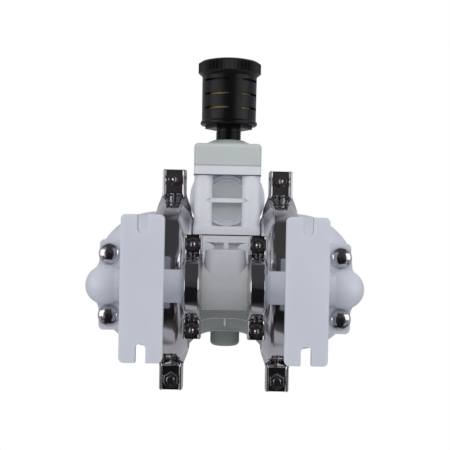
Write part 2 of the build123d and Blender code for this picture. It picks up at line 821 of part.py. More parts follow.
# Liquid chambers
with BuildPart() as chamber_right:
    with BuildSketch(shaft_plane):
        with BuildLine():
            Polyline(
                (chamber_end_x, dome_edge_r - 3),
                (chamber_end_x, 0),
                (diaphragm_x + rim_gap / 2, 0),
                (diaphragm_x + rim_gap / 2, wedge_out_r),
                (diaphragm_x + wedge_out_x, wedge_out_r),
                (diaphragm_x + wedge_in_x, wedge_in_r),
                dome_point(dome_from),
            )
            ThreePointArc(
                dome_point(dome_from), dome_point((dome_from + dome_to) / 2), dome_point(dome_to)
            )
            Polyline(
                dome_point(dome_to),
                (chamber_end_x - 0.7, dome_edge_r),
                (chamber_end_x, dome_edge_r - 3),
            )
        make_face()
    revolve(axis=shaft_axis)
    for out in (-1, 1):
        face, back = out * joint_rise, out * (joint_rise - chamber_flange_t)
        low, high = sorted((shaft_z + face, shaft_z + back))
        port_flange(low, high)
        rod(at(valve_x, 0, out * 30), at(valve_x, 0, face), tower_r)
    inner_dome = [dome_point(degrees, chamber_wall) for degrees in (dome_from, 74, 60, 47, dome_to)]
    turn(
        shaft_plane,
        shaft_axis,
        [
            (chamber_end_x - chamber_wall, 0),
            (diaphragm_x, 0),
            (diaphragm_x, bead_out_r + plug_gap),
            (diaphragm_x + bead_t / 2, bead_out_r + plug_gap),
            (diaphragm_x + bead_t / 2, bead_in_r - plug_gap),
            (membrane_out_x, bead_in_r - plug_gap),
            (membrane_out_x, dish_r),
            (diaphragm_x + wedge_out_x, dish_r - 0.6),
            *inner_dome,
            (chamber_end_x - chamber_wall, dome_edge_r - 5),
        ],
        Mode.SUBTRACT,
    )
    # Inlet bore with a cross in it that stops the ball
    stop_rise = -joint_rise + ball_rest + ball_lift + ball_r + ball_gap
    rod(at(valve_x, 0, -joint_rise), at(valve_x, 0, -28), ball_bore_r, Mode.SUBTRACT)
    reach_out = ball_bore_r + 0.5
    for half_x, half_y in ((stop_w / 2, reach_out), (reach_out, stop_w / 2)):
        block(
            at(valve_x - half_x, -half_y, stop_rise),
            at(valve_x + half_x, half_y, stop_rise + stop_h),
        )
    rod(at(valve_x, 0, 30), at(valve_x, 0, joint_rise), outlet_bore_r, Mode.SUBTRACT)
    rod(
        at(valve_x, 0, joint_rise - seat_h), at(valve_x, 0, joint_rise),
        seat_r + seat_gap, Mode.SUBTRACT,
    )
    for out in (-1, 1):
        for y in (-bolt_y, bolt_y):
            back = out * (joint_rise - chamber_flange_t)
            rod(at(bolt_x, y, back), at(bolt_x, y, out * joint_rise), bolt_hole_r, Mode.SUBTRACT)
            rod(
                at(bolt_x, y, back - out * (bolt_nut_h + 0.5)),
                at(bolt_x, y, back),
                nut_pocket_r,
                Mode.SUBTRACT,
            )
keep(chamber_right, "liquid_chamber_right")

with BuildPart() as chamber_left:
    mirror(chamber_right.part, about=Plane.YZ)
keep(chamber_left, "liquid_chamber_left")

# Elbows, the inlet pair with the feet, the discharge pair with the ball stops
foot_slot_y = foot_l / 2 - foot_slot_depth + foot_slot_w / 2
for port, out in (("inlet", -1), ("discharge", 1)):
    centre_rise = out * manifold_rise
    with BuildPart() as elbow:
        rod(at(tee_joint_x, 0, centre_rise), at(valve_x, 0, centre_rise), tube_r)
        turn(
            Plane(at(0, 0, centre_rise), x_dir=(1, 0, 0), z_dir=(0, -1, 0)),
            Axis(at(0, 0, centre_rise), (1, 0, 0)),
            [
                (tee_joint_x, 0),
                (tee_joint_x, small_out_r),
                (tee_joint_x + small_out_x, small_out_r),
                (tee_joint_x + small_in_x, small_in_r),
                (tee_joint_x + small_in_x + 1.2, small_in_r - 1.0),
                (tee_joint_x + small_in_x + 2.4, tube_r),
                (tee_joint_x + small_in_x + 2.4, 0),
            ],
        )
        with Locations(at(valve_x, 0, centre_rise)):
            Sphere(elbow_end_r)
        rod(at(valve_x, 0, centre_rise), at(valve_x, 0, out * joint_rise), tower_r)
        low, high = sorted(
            (shaft_z + out * joint_rise, shaft_z + out * (joint_rise + elbow_flange_t))
        )
        port_flange(low, high)
        if port == "inlet":
            with BuildSketch(Plane.XY) as sole:
                with Locations((foot_x, 0)):
                    RectangleRounded(foot_w, foot_l, foot_corner)
                for y_sign in (-1, 1):
                    with Locations((foot_x, y_sign * foot_slot_y)):
                        Circle(foot_slot_w / 2, mode=Mode.SUBTRACT)
                    with Locations((foot_x, y_sign * (foot_slot_y + foot_slot_depth / 2))):
                        Rectangle(foot_slot_w, foot_slot_depth, mode=Mode.SUBTRACT)
            extrude(amount=foot_t)
            block(
                (foot_x - pedestal_w / 2, -pedestal_half_y, foot_t - 1),
                (foot_x + pedestal_w / 2, pedestal_half_y, shaft_z - manifold_rise - 5),
            )
            web_plane = Plane((foot_x - 3, 0, 0), x_dir=(0, 1, 0), z_dir=(1, 0, 0))
            web = outline(web_plane, [(-28, foot_t - 1), (28, foot_t - 1), (8, 24), (-8, 24)])
            extrude(web, amount=6)
        rod(
            at(tee_joint_x, 0, centre_rise), at(valve_x + tube_bore_r, 0, centre_rise),
            tube_bore_r, Mode.SUBTRACT,
        )
        if port == "inlet":
            rod(
                at(valve_x, 0, centre_rise), at(valve_x, 0, -joint_rise - seat_h),
                tube_bore_r, Mode.SUBTRACT,
            )
            rod(
                at(valve_x, 0, -joint_rise - seat_h), at(valve_x, 0, -joint_rise),
                seat_r + seat_gap, Mode.SUBTRACT,
            )
        else:
            rod(
                at(valve_x, 0, centre_rise), at(valve_x, 0, joint_rise),
                ball_bore_r, Mode.SUBTRACT,
            )
            post_rise = joint_rise + ball_rest + ball_lift + ball_r + ball_gap
            block(
                at(valve_x - stop_rib_half, -stop_w / 2, post_rise),
                at(valve_x + stop_rib_half, stop_w / 2, centre_rise + tube_bore_r),
            )
        for y in (-bolt_y, bolt_y):
            rod(
                at(bolt_x, y, out * joint_rise),
                at(bolt_x, y, out * (joint_rise + elbow_flange_t)),
                bolt_hole_r,
                Mode.SUBTRACT,
            )
            square = square_neck / 2 + 0.25
            back = out * (joint_rise + elbow_flange_t)
            block(
                at(bolt_x - square, y - square, back),
                at(bolt_x + square, y + square, back - out * (square_depth + 0.3)),
                Mode.SUBTRACT,
            )
    keep(elbow, f"{port}_elbow_right")
    with BuildPart() as elbow_left:
        mirror(elbow.part, about=Plane.YZ)
    keep(elbow_left, f"{port}_elbow_left")

    # Tee with its threaded port towards -Y and an O-ring groove at each end
    with BuildPart() as tee:
        axis_line = Axis(at(0, 0, centre_rise), (1, 0, 0))
        tee_plane = Plane(at(0, 0, centre_rise), x_dir=(1, 0, 0), z_dir=(0, -1, 0))
        turn(
            tee_plane,
            axis_line,
            [
                (0, 0),
                (0, tee_r),
                (tee_half_x, tee_r),
                (tee_joint_x - small_in_x, small_in_r),
                (tee_joint_x - small_out_x, small_out_r),
                (tee_joint_x, small_out_r),
                (tee_joint_x, 0),
            ],
        )
        mirror(about=Plane.YZ)
        rod(at(0, 0, centre_rise), at(0, -branch_end, centre_rise), branch_r)
        joint = [e for e in tee.edges() if -branch_end + 2 < e.center().Y < -6]
        fillet(joint, branch_blend_r)
        chamfer(tee.edges().filter_by(GeomType.CIRCLE).sort_by(Axis.Y)[0], branch_edge)
        if port == "inlet":
            rod(at(0, 0, centre_rise - tee_r - 0.3), at(0, 0, centre_rise - tee_r + 1), 1.6)
        rod(
            at(-tee_joint_x, 0, centre_rise), at(tee_joint_x, 0, centre_rise),
            tube_bore_r, Mode.SUBTRACT,
        )
        rod(
            at(0, -branch_end, centre_rise), at(0, -branch_end + port_depth, centre_rise),
            port_r, Mode.SUBTRACT,
        )
        rod(at(0, -branch_end + port_depth, centre_rise), at(0, 0, centre_rise), 5.4, Mode.SUBTRACT)
        for side in (-1, 1):
            half = ring_groove_w / 2
            turn(
                tee_plane,
                axis_line,
                [
                    (side * tee_joint_x, tee_ring_r - half),
                    (side * tee_joint_x, tee_ring_r + half),
                    (side * (tee_joint_x - 2 * ring_r), tee_ring_r + half),
                    (side * (tee_joint_x - 2 * ring_r), tee_ring_r - half),
                ],
                Mode.SUBTRACT,
            )
    keep(tee, f"{port}_tee")

with BuildPart() as tee_o_rings:
    for out in (-1, 1):
        plane = Plane(at(0, 0, out * manifold_rise), x_dir=(1, 0, 0), z_dir=(0, -1, 0))
        axis_line = Axis(at(0, 0, out * manifold_rise), (1, 0, 0))
        for side in (-1, 1):
            ring(plane, axis_line, (side * (tee_joint_x - ring_r), tee_ring_r))
keep(tee_o_rings, "tee_o_rings")

# Seats, their O-rings and the balls
for port, out in (("inlet", -1), ("discharge", 1)):
    top = out * joint_rise
    for name, side in sides:
        upright = Plane(at(side * valve_x, 0, top), x_dir=(1, 0, 0), z_dir=(0, -1, 0))
        line = Axis(at(side * valve_x, 0, top), (0, 0, 1))
        half = ring_groove_w / 2
        with BuildPart() as seat:
            turn(
                upright,
                line,
                [
                    (seat_hole_r, -seat_h),
                    (seat_hole_r, -seat_chamfer),
                    (seat_hole_r + seat_chamfer, 0),
                    (seat_ring_r - half, 0),
                    (seat_ring_r - half, -2 * ring_r),
                    (seat_ring_r + half, -2 * ring_r),
                    (seat_ring_r + half, 0),
                    (seat_r, 0),
                    (seat_r, -seat_h),
                ],
            )
        keep(seat, f"{port}_seat_{name}")
        with BuildPart() as ball:
            with Locations(at(side * valve_x, 0, top + ball_rest)):
                Sphere(ball_r)
        keep(ball, f"{port}_ball_{name}")

with BuildPart() as seat_o_rings:
    for out in (-1, 1):
        for side in (-1, 1):
            seat_top = at(side * valve_x, 0, out * joint_rise)
            plane = Plane(seat_top, x_dir=(1, 0, 0), z_dir=(0, -1, 0))
            ring(plane, Axis(seat_top, (0, 0, 1)), (seat_ring_r, -ring_r))
keep(seat_o_rings, "seat_o_rings")

# Flange bolts, heads outwards, and their nuts on the inner faces of the chamber flanges
nut_face = joint_rise - chamber_flange_t
head_face = joint_rise + elbow_flange_t
with BuildPart() as elbow_bolts:
    for out in (-1, 1):
        for side in (-1, 1):
            for y in (-bolt_y, bolt_y):
                x = side * bolt_x
                turn(
                    Plane(at(x, y, out * head_face), x_dir=(1, 0, 0), z_dir=(0, -1, 0)),
                    Axis(at(x, y, 0), (0, 0, 1)),
                    [
                        (0, 0),
                        (cup_r, 0),
                        (cup_r * 0.95, out * cup_h * 0.36),
                        (cup_r * 0.8, out * cup_h * 0.68),
                        (cup_r * 0.52, out * cup_h * 0.91),
                        (cup_r * 0.2, out * cup_h),
                        (0, out * cup_h),
                    ],
                )
                half = square_neck / 2
                block(
                    at(x - half, y - half, out * head_face),
                    at(x + half, y + half, out * (head_face - square_depth)),
                )
                rod(
                    at(x, y, out * head_face),
                    at(x, y, out * (nut_face - bolt_nut_h - 0.2)),
                    bolt_r,
                )
keep(elbow_bolts, "elbow_bolts")

with BuildPart() as elbow_nuts:
    for out in (-1, 1):
        for side in (-1, 1):
            for y in (-bolt_y, bolt_y):
                nut(
                    at(side * bolt_x, y, out * nut_face), (0, 0, -out),
                    bolt_nut_af, bolt_nut_h, bolt_r,
                )
keep(elbow_nuts, "elbow_nuts")


def clamp_half(axis_rise, x_mid, out, wedge, thick, lug, gap, hole_y):
    """Half of a two-part band clamp: wedge channel, and a channel lug at each end."""
    in_x, in_r, out_x, out_r = wedge
    lug_width, plate_t, side_t, end_y = lug
    plane = Plane(at(x_mid, 0, axis_rise), x_dir=(1, 0, 0), z_dir=(0, -1, 0))
    line = Axis(at(x_mid, 0, axis_rise), (1, 0, 0))
    low_r, crown_r = in_r + seat_gap, out_r + plug_gap
    crown = out_r + plug_gap + thick
    turn(
        plane,
        line,
        [
            (in_x + seat_gap, low_r),
            (out_x + seat_gap, crown_r),
            (-out_x - seat_gap, crown_r),
            (-in_x - seat_gap, low_r),
            (-in_x - thick, low_r),
            (-out_x - 0.7 * thick, crown),
            (out_x + 0.7 * thick, crown),
            (in_x + thick, low_r),
        ],
    )
    z_split = axis_rise + out * gap / 2
    far = axis_rise - out * (crown + 1)
    block(at(x_mid - 20, -crown - 1, far), at(x_mid + 20, crown + 1, z_split), Mode.SUBTRACT)
    for y_sign in (-1, 1):
        root_y = crown_r + 0.6
        block(
            at(x_mid - lug_width / 2, y_sign * root_y, z_split),
            at(x_mid + lug_width / 2, y_sign * end_y, z_split + out * plate_t),
        )
        rise = 0.36 * crown_r
        side_points = [
            (y_sign * (crown_r - 0.9), z_split),
            (y_sign * end_y, z_split),
            (y_sign * end_y, z_split + out * plate_t * 2.3),
            (y_sign * (crown + 2), z_split + out * (plate_t * 2.3 + 0.1 * crown_r)),
            (y_sign * sqrt(crown_r**2 - rise**2), axis_rise + out * rise),
        ]
        for x_low in (x_mid - lug_width / 2, x_mid + lug_width / 2 - side_t):
            side_plane = Plane(at(x_low, 0, 0), x_dir=(0, 1, 0), z_dir=(1, 0, 0))
            extrude(outline(side_plane, side_points), amount=side_t)
        rod(
            at(x_mid, y_sign * hole_y, z_split - out),
            at(x_mid, y_sign * hole_y, z_split + out * 2 * plate_t),
            screw_hole_r,
            Mode.SUBTRACT,
        )


large_wedge = (wedge_in_x, wedge_in_r, wedge_out_x, wedge_out_r)
large_lug = (lug_w, lug_t, lug_side_t, lug_end_y)
small_wedge = (small_in_x, small_in_r, small_out_x, small_out_r)
small_lug = (small_lug_w, small_lug_t, small_lug_side_t, small_lug_end_y)

for name, side in sides:
    for half_name, out in halves:
        with BuildPart() as large_clamp:
            clamp_half(
                0, side * diaphragm_x, out, large_wedge, band_t, large_lug, split_gap, lug_bolt_y
            )
        keep(large_clamp, f"large_clamp_{name}_{half_name}")
        for port, port_out in (("inlet", -1), ("discharge", 1)):
            with BuildPart() as small_clamp:
                clamp_half(
                    port_out * manifold_rise, side * tee_joint_x, out, small_wedge,
                    small_band_t, small_lug, small_split_gap, small_lug_bolt_y,
                )
            keep(small_clamp, f"{port}_clamp_{name}_{half_name}")

# Clamp screws and nuts. The front screws of the large clamps have their heads below,
# the rear ones above; the small clamps have them on the outer side of each manifold.
with BuildPart() as large_clamp_screws:
    for side in (-1, 1):
        for y_sign in (-1, 1):
            head = y_sign
            cap_screw(
                at(side * diaphragm_x, y_sign * lug_bolt_y, head * socket_seat_rise),
                (0, 0, -head),
                2 * socket_seat_rise + nut_h + screw_beyond,
            )
keep(large_clamp_screws, "large_clamp_screws")

with BuildPart() as large_clamp_nuts:
    for side in (-1, 1):
        for y_sign in (-1, 1):
            nut(
                at(side * diaphragm_x, y_sign * lug_bolt_y, -y_sign * socket_seat_rise),
                (0, 0, -y_sign),
                nut_af,
                nut_h,
                screw_r,
            )
keep(large_clamp_nuts, "large_clamp_nuts")

small_points = [
    (out, side * tee_joint_x, y_sign * small_lug_bolt_y)
    for out in (-1, 1)
    for side in (-1, 1)
    for y_sign in (-1, 1)
]
with BuildPart() as small_clamp_screws:
    for out, x, y in small_points:
        cap_screw(
            at(x, y, out * (manifold_rise + small_seat_rise)),
            (0, 0, -out),
            2 * small_seat_rise + nut_h + 1.0,
        )
keep(small_clamp_screws, "small_clamp_screws")

with BuildPart() as small_clamp_nuts:
    for out, x, y in small_points:
        nut(
            at(x, y, out * (manifold_rise - small_seat_rise)), (0, 0, -out),
            nut_af, nut_h, screw_r,
        )
keep(small_clamp_nuts, "small_clamp_nuts")
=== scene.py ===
# %% [markdown]
# # Air operated diaphragm pump, seen from below
# The imported solids set every size and every joint. This script dresses them: it poses the camera under the feet
# as the photographer had it, lights the pump, gives each piece the finish of its real material, with painted shade on
# the centre section, the tees and the valve's dishes, and adds what solids don't carry, such as rolled edges,
# threads, moulding marks with a painted highlight and the stamped shape of the clamp bands.

import json
from math import asin, cos, pi, radians, sin, sqrt
from types import SimpleNamespace

import bmesh
import bpy
from mathutils import Matrix, Vector


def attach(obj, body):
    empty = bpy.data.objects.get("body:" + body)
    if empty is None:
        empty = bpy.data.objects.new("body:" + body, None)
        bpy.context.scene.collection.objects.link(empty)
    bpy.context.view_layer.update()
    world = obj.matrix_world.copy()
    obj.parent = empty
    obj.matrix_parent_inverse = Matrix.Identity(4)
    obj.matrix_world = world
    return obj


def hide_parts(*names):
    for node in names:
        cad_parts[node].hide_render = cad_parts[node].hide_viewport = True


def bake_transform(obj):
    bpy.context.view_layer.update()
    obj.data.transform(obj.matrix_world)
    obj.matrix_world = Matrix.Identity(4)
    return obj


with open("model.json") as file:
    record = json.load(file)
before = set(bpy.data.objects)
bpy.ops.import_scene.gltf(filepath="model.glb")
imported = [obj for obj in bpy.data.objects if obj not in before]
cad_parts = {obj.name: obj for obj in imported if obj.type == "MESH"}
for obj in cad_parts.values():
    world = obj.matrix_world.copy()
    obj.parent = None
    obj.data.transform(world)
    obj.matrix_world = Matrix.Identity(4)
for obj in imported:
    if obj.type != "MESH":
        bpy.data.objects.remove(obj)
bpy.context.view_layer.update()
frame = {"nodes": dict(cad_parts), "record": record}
MM = 0.001
SHAFT_Z = 98 * MM  # the shaft's axis above the soles
RISE = 70 * MM  # from the shaft's axis to the axis of either manifold
LARGE_CLAMP_X = 37.2  # middle plane of each large clamp, in mm from the middle of the pump
SMALL_CLAMP_X = 20.3

# %% [markdown]
# ## Camera
# The picture shows both soles and the inlet manifold, with the muffler upwards, so the camera lies under the pump
# and looks along +Z. The sizes of the soles, manifold and chambers fall off with height, which puts the camera
# 631 mm below the shaft's axis. The pump is turned one degree clockwise in the picture.

# %% Camera
scene = bpy.context.scene
camera_data = bpy.data.cameras.new("photo_camera")
camera = bpy.data.objects.new("photo_camera", camera_data)
scene.collection.objects.link(camera)
scene.camera = camera
camera_data.sensor_width = 36
camera_data.lens = 71.6
camera_data.clip_start = 0.01
camera_data.shift_x = -0.0197
roll = radians(1.1)
right = Vector((cos(roll), -sin(roll), 0))
up = Vector((-sin(roll), -cos(roll), 0))
back = Vector((0, 0, -1))
camera_at = Vector((0.00495, -0.0390, -0.5330))
camera.matrix_world = Matrix.Translation(camera_at) @ Matrix((right, up, back)).transposed().to_4x4()
print("camera", tuple(round(v, 4) for v in camera_at), "lens", camera_data.lens)

# %% [markdown]
# ## Node helpers
# The world and every material are built from nodes, by these few functions.


# %% Node helpers
def node_tree(owner):
    owner.use_nodes = True
    tree = owner.node_tree
    tree.nodes.clear()
    return tree


def add_node(tree, kind, inputs=None, **attributes):
    """A node whose inputs are linked where a socket is given and set where a value is given."""
    node = tree.nodes.new(kind)
    for key, value in attributes.items():
        setattr(node, key, value)
    for key, value in (inputs or {}).items():
        if isinstance(value, bpy.types.NodeSocket):
            tree.links.new(value, node.inputs[key])
        else:
            node.inputs[key].default_value = value
    return node


def maths(tree, operation, *values):
    return add_node(tree, "ShaderNodeMath", dict(enumerate(values)), operation=operation).outputs[0]


def ramp(tree, source, low, high, start=0.0, end=1.0):
    """Goes from start to end while the source goes from low to high."""
    return add_node(tree, "ShaderNodeMapRange", {0: source, 1: low, 2: high, 3: start, 4: end}).outputs[0]


def mixed(tree, factor, one, two):
    """The colour one where the factor is 0 and the colour two where it is 1."""
    colours = {6: one, 7: two}
    return add_node(tree, "ShaderNodeMix", {"Factor": factor, **colours}, data_type="RGBA").outputs[2]


def noise(tree, where, scale, **inputs):
    return add_node(tree, "ShaderNodeTexNoise", {"Vector": where, "Scale": scale, **inputs}).outputs["Fac"]


print("node helpers ready")

# %% [markdown]
# ## What the steel mirrors
# The photo is cut out on white, so the camera sees white. The polished steel mirrors a room of its own, apart from
# the soft fill that lights the plastic. Round the camera that room is dark grey towards the muffler and near black
# towards the air inlet. To the sides, past the air inlet and above the pump it is dark grey with patches of pale
# paper, and paper alone farthest out. A broad noise makes the borders wander.

# %% World
scene.view_settings.view_transform = "Standard"
world = bpy.data.worlds.new("studio")
scene.world = world
tree = node_tree(world)
path = add_node(tree, "ShaderNodeLightPath")
towards = add_node(tree, "ShaderNodeTexCoord").outputs["Generated"]
ray = add_node(tree, "ShaderNodeSeparateXYZ", {0: towards})
haze = noise(tree, towards, 1.7, Detail=1.0)
wobble = maths(tree, "MULTIPLY", maths(tree, "SUBTRACT", haze, 0.5), 0.45)
across = maths(tree, "ADD", maths(tree, "ABSOLUTE", ray.outputs["X"]), wobble)
along = maths(tree, "ADD", ray.outputs["Y"], wobble)

not_sideways = ramp(tree, across, 0.46, 0.56, 1.0, 0.0)
not_rear = ramp(tree, along, 0.74, 0.86, 1.0, 0.0)
not_behind = ramp(tree, ray.outputs["Z"], 0.10, 0.35, 1.0, 0.0)
camera_side = maths(tree, "MULTIPLY", maths(tree, "MULTIPLY", not_sideways, not_rear), not_behind)
room = add_node(tree, "ShaderNodeValToRGB", {"Fac": ramp(tree, along, -0.5, 0.5)})
room_steps = (
    (0.0, (0.060, 0.060, 0.062)),  # towards the muffler
    (0.40, (0.045, 0.042, 0.044)),
    (0.49, (0.052, 0.042, 0.044)),  # straight down
    (0.56, (0.010, 0.009, 0.010)),  # towards the air inlet
)
for step, (place_at, shade) in enumerate(room_steps):
    stop = room.color_ramp.elements[step] if step < 2 else room.color_ramp.elements.new(place_at)
    stop.position = place_at
    stop.color = (*shade, 1)

edge_on = maths(tree, "MAXIMUM", ramp(tree, across, 0.66, 0.84), ramp(tree, ray.outputs["Z"], 0.25, 0.60))
paper = maths(tree, "MAXIMUM", ramp(tree, haze, 0.46, 0.56), edge_on)
paper_side = mixed(tree, paper, (0.07, 0.068, 0.07, 1), (0.44, 0.44, 0.47, 1))
mirror_view = mixed(tree, camera_side, paper_side, room.outputs["Color"])

mirrored = add_node(tree, "ShaderNodeBackground", {"Color": mirror_view, "Strength": 1.0})
fill = add_node(tree, "ShaderNodeBackground", {"Color": (0.93, 0.96, 1.0, 1), "Strength": 0.34})
white = add_node(tree, "ShaderNodeBackground", {"Color": (1.0, 1.0, 1.0, 1), "Strength": 1.0})
indirect = add_node(
    tree,
    "ShaderNodeMixShader",
    {0: path.outputs["Is Glossy Ray"], 1: fill.outputs[0], 2: mirrored.outputs[0]},
)
seen = add_node(
    tree, "ShaderNodeMixShader", {0: path.outputs["Is Camera Ray"], 1: indirect.outputs[0], 2: white.outputs[0]}
)
add_node(tree, "ShaderNodeOutputWorld", {"Surface": seen.outputs[0]})
print("world nodes", len(tree.nodes))

# %% [markdown]
# ## Floor
# The pump stands on a paper floor that can be seen from above only, so that the view from below isn't blocked.

# %% Floor
floor_mesh = bpy.data.meshes.new("floor")
floor_mesh.from_pydata([(-2, -2, 0), (2, -2, 0), (2, 2, 0), (-2, 2, 0)], [], [(0, 1, 2, 3)])
floor = bpy.data.objects.new("floor", floor_mesh)
floor.location.z = -0.0004
scene.collection.objects.link(floor)
floor_paint = bpy.data.materials.new("floor_paper")
tree = node_tree(floor_paint)
geometry = add_node(tree, "ShaderNodeNewGeometry")
grain = add_node(tree, "ShaderNodeTexNoise", {"Scale": 300.0})
floor_colour = mixed(tree, grain.outputs["Fac"], (0.80, 0.80, 0.80, 1), (0.86, 0.86, 0.86, 1))
matt = add_node(tree, "ShaderNodeBsdfDiffuse", {"Color": floor_colour})
clear = add_node(tree, "ShaderNodeBsdfTransparent")
one_sided = add_node(
    tree, "ShaderNodeMixShader", {0: geometry.outputs["Backfacing"], 1: matt.outputs[0], 2: clear.outputs[0]}
)
add_node(tree, "ShaderNodeOutputMaterial", {"Surface": one_sided.outputs[0]})
floor_mesh.materials.append(floor_paint)
floor.visible_shadow = False
floor.visible_diffuse = False
floor.visible_glossy = False
print("floor", floor.name)

# %% [markdown]
# ## Lamps
# Soft boxes stand round the pump, most of them below it like the camera. The steel mirrors only the two at the
# sides; the others light the plastic without leaving white patches on the bands.

# %% Lamps
MIDDLE = (0, -0.03, 0.07)


def soft_box(name, place, size, watts, mirrored=False):
    data = bpy.data.lights.new(name, "AREA")
    data.shape = "RECTANGLE"
    data.size, data.size_y = size
    data.energy = watts
    lamp = bpy.data.objects.new(name, data)
    scene.collection.objects.link(lamp)
    lamp.location = place
    lamp.rotation_euler = (Vector(MIDDLE) - Vector(place)).to_track_quat("-Z", "Y").to_euler()
    lamp.visible_glossy = mirrored


soft_box("box_left", (-0.75, -0.10, -0.45), (0.5, 0.9), 2.1, mirrored=True)
soft_box("box_right", (0.75, -0.15, -0.40), (0.5, 0.9), 1.9, mirrored=True)
soft_box("box_muffler_end", (0.05, -0.95, -0.30), (0.9, 0.5), 2.2)
soft_box("box_above", (0.3, -0.5, 1.1), (0.9, 0.9), 2.5)
soft_box("box_camera", (0.0, -0.45, -0.95), (0.5, 0.4), 1.4)
soft_box("box_inlet_end", (-0.05, 0.85, -0.35), (0.7, 0.35), 0.7)

# %% [markdown]
# ## Finishes
# Each finish is a small node tree: a broad mottling of the colour, a change of gloss and a fine bump, all placed
# in the object's own coordinates. The milky liquid end is natural polypropylene, which lets light in a few
# millimetres. The steel is mechanically polished, so it keeps faint waves and hairlines.


# %% Finish
def finish(
    name,
    colour,
    rough,
    metal=0.0,
    mottle=0.05,
    cell=25.0,
    rough_spread=0.06,
    bump=0.05,
    grain=900.0,
    stretch=(1, 1, 1),
    sss=0.0,
    sss_mm=3.0,
    specular=0.5,
    far=None,
):
    """A finish; far=(axis, from, to, colour) paints shade, changing the colour along one axis of the piece, in
    millimetres.
    """
    material = bpy.data.materials.new(name)
    tree = node_tree(material)
    place = add_node(tree, "ShaderNodeTexCoord").outputs["Object"]
    scaled = add_node(tree, "ShaderNodeMapping", {"Vector": place, "Scale": stretch}).outputs[0]
    broad = noise(tree, place, cell, Detail=3.0)
    fine = noise(tree, scaled, grain, Detail=2.0, Roughness=0.6)
    low = [max(0.0, c * (1 - mottle)) for c in colour] + [1]
    high = [min(1.0, c * (1 + mottle)) for c in colour] + [1]
    base = mixed(tree, broad, low, high)
    # far paints shade: the colour darkens along one axis of the piece.
    if far:
        axis, start, end, painted_shade_colour = far
        split = add_node(tree, "ShaderNodeSeparateXYZ", {0: place})
        base = mixed(tree, ramp(tree, split.outputs[axis], start * MM, end * MM), base, (*painted_shade_colour, 1))
    smoothest, roughest = max(0.02, rough - rough_spread), min(1.0, rough + rough_spread)
    relief = add_node(tree, "ShaderNodeBump", {"Height": fine, "Strength": bump, "Distance": 0.0002})
    shader = add_node(
        tree,
        "ShaderNodeBsdfPrincipled",
        {
            "Base Color": base,
            "Roughness": ramp(tree, broad, 0.0, 1.0, smoothest, roughest),
            "Metallic": metal,
            "Normal": relief.outputs[0],
            "Specular IOR Level": specular,
            "Subsurface Weight": sss,
            "Subsurface Radius": (1.0, 1.0, 1.0),
            "Subsurface Scale": sss_mm * MM,
        },
    )
    add_node(tree, "ShaderNodeOutputMaterial", {"Surface": shader.outputs[0]})
    return material


print("finish ready")

# %% [markdown]
# The centre section and the tees carry painted shade: the centre section darkens towards the air inlet and the tees
# darken from their branch to their run, so both change colour along Y, and the tees are a darker grey than the
# manifold.
# Bolt and screw heads that show a bright ball get a finish of their own.

# %% Finishes of this pump
MILKY = (0.74, 0.76, 0.84)
LOOKS = {
    # painted shade: the centre section darkens towards the air inlet
    "center_plastic": dict(
        colour=(0.84, 0.86, 0.90), rough=0.42, sss=0.15, bump=0.08, far=("Y", -26, 22, (0.36, 0.38, 0.37))
    ),
    "valve_plastic": dict(colour=(0.86, 0.87, 0.93), rough=0.40, sss=0.2, bump=0.08),
    # a darker copy of the valve plastic: painted shade for the dishes' floors
    "dish_plastic_painted_shade": dict(colour=(0.68, 0.70, 0.69), rough=0.42, sss=0.15, bump=0.08),
    "plate_plastic": dict(colour=(0.64, 0.68, 0.67), rough=0.45, sss=0.1, bump=0.10),
    "wetted_plastic": dict(colour=MILKY, rough=0.34, sss=0.5, sss_mm=4.0),
    "manifold_plastic": dict(colour=MILKY, rough=0.36, sss=0.5, sss_mm=4.0),
    # painted shade: a darker grey than the manifold, darkening further from branch to run
    "tee_plastic_painted_shade": dict(
        colour=(0.60, 0.60, 0.645), rough=0.36, sss=0.2, bump=0.06, far=("Y", -20, -6, (0.485, 0.485, 0.50))
    ),
    "head_steel": dict(colour=(0.64, 0.63, 0.65), rough=0.14, metal=1.0, mottle=0.03, rough_spread=0.03, bump=0.02),
    "polished_steel": dict(
        colour=(0.62, 0.61, 0.63), rough=0.10, metal=1.0, mottle=0.03, cell=60, rough_spread=0.05, bump=0.03,
        grain=260, stretch=(1.0, 0.2, 0.2),
    ),
    "fastener_steel": dict(
        colour=(0.60, 0.58, 0.57), rough=0.20, metal=1.0, mottle=0.08, cell=300, rough_spread=0.08, bump=0.08,
        grain=1500,
    ),
    "muffler_plastic": dict(
        colour=(0.004, 0.004, 0.005), rough=0.32, mottle=0.3, bump=0.12, grain=1400, specular=0.25
    ),
    "porous_element": dict(
        colour=(0.55, 0.42, 0.17), rough=0.55, metal=0.6, mottle=0.35, cell=900, bump=0.6, grain=1800
    ),
    "pale_gasket": dict(colour=(0.62, 0.63, 0.62), rough=0.6, mottle=0.1, bump=0.15),
    "gasket_rubber": dict(colour=(0.035, 0.035, 0.035), rough=0.75, mottle=0.2, bump=0.15),
    "diaphragm_rubber": dict(colour=(0.76, 0.70, 0.55), rough=0.60, sss=0.1, bump=0.1),
    "piston_plastic": dict(colour=(0.74, 0.76, 0.80), rough=0.4, sss=0.2),
    "piston_alloy": dict(
        colour=(0.60, 0.60, 0.61), rough=0.4, metal=1.0, mottle=0.1, cell=400, bump=0.2, grain=1600
    ),
    "seat_plastic": dict(colour=(0.78, 0.79, 0.82), rough=0.35, sss=0.3),
    "ball_white": dict(colour=(0.86, 0.86, 0.84), rough=0.25, sss=0.2, bump=0.02),
    "pilot_acetal": dict(colour=(0.10, 0.10, 0.11), rough=0.35, mottle=0.15),
}
FINISH = {name: finish(name, **look) for name, look in LOOKS.items()}
SLOT = {s["node"]: s["material_slot"] for s in frame["record"]["subparts"]}
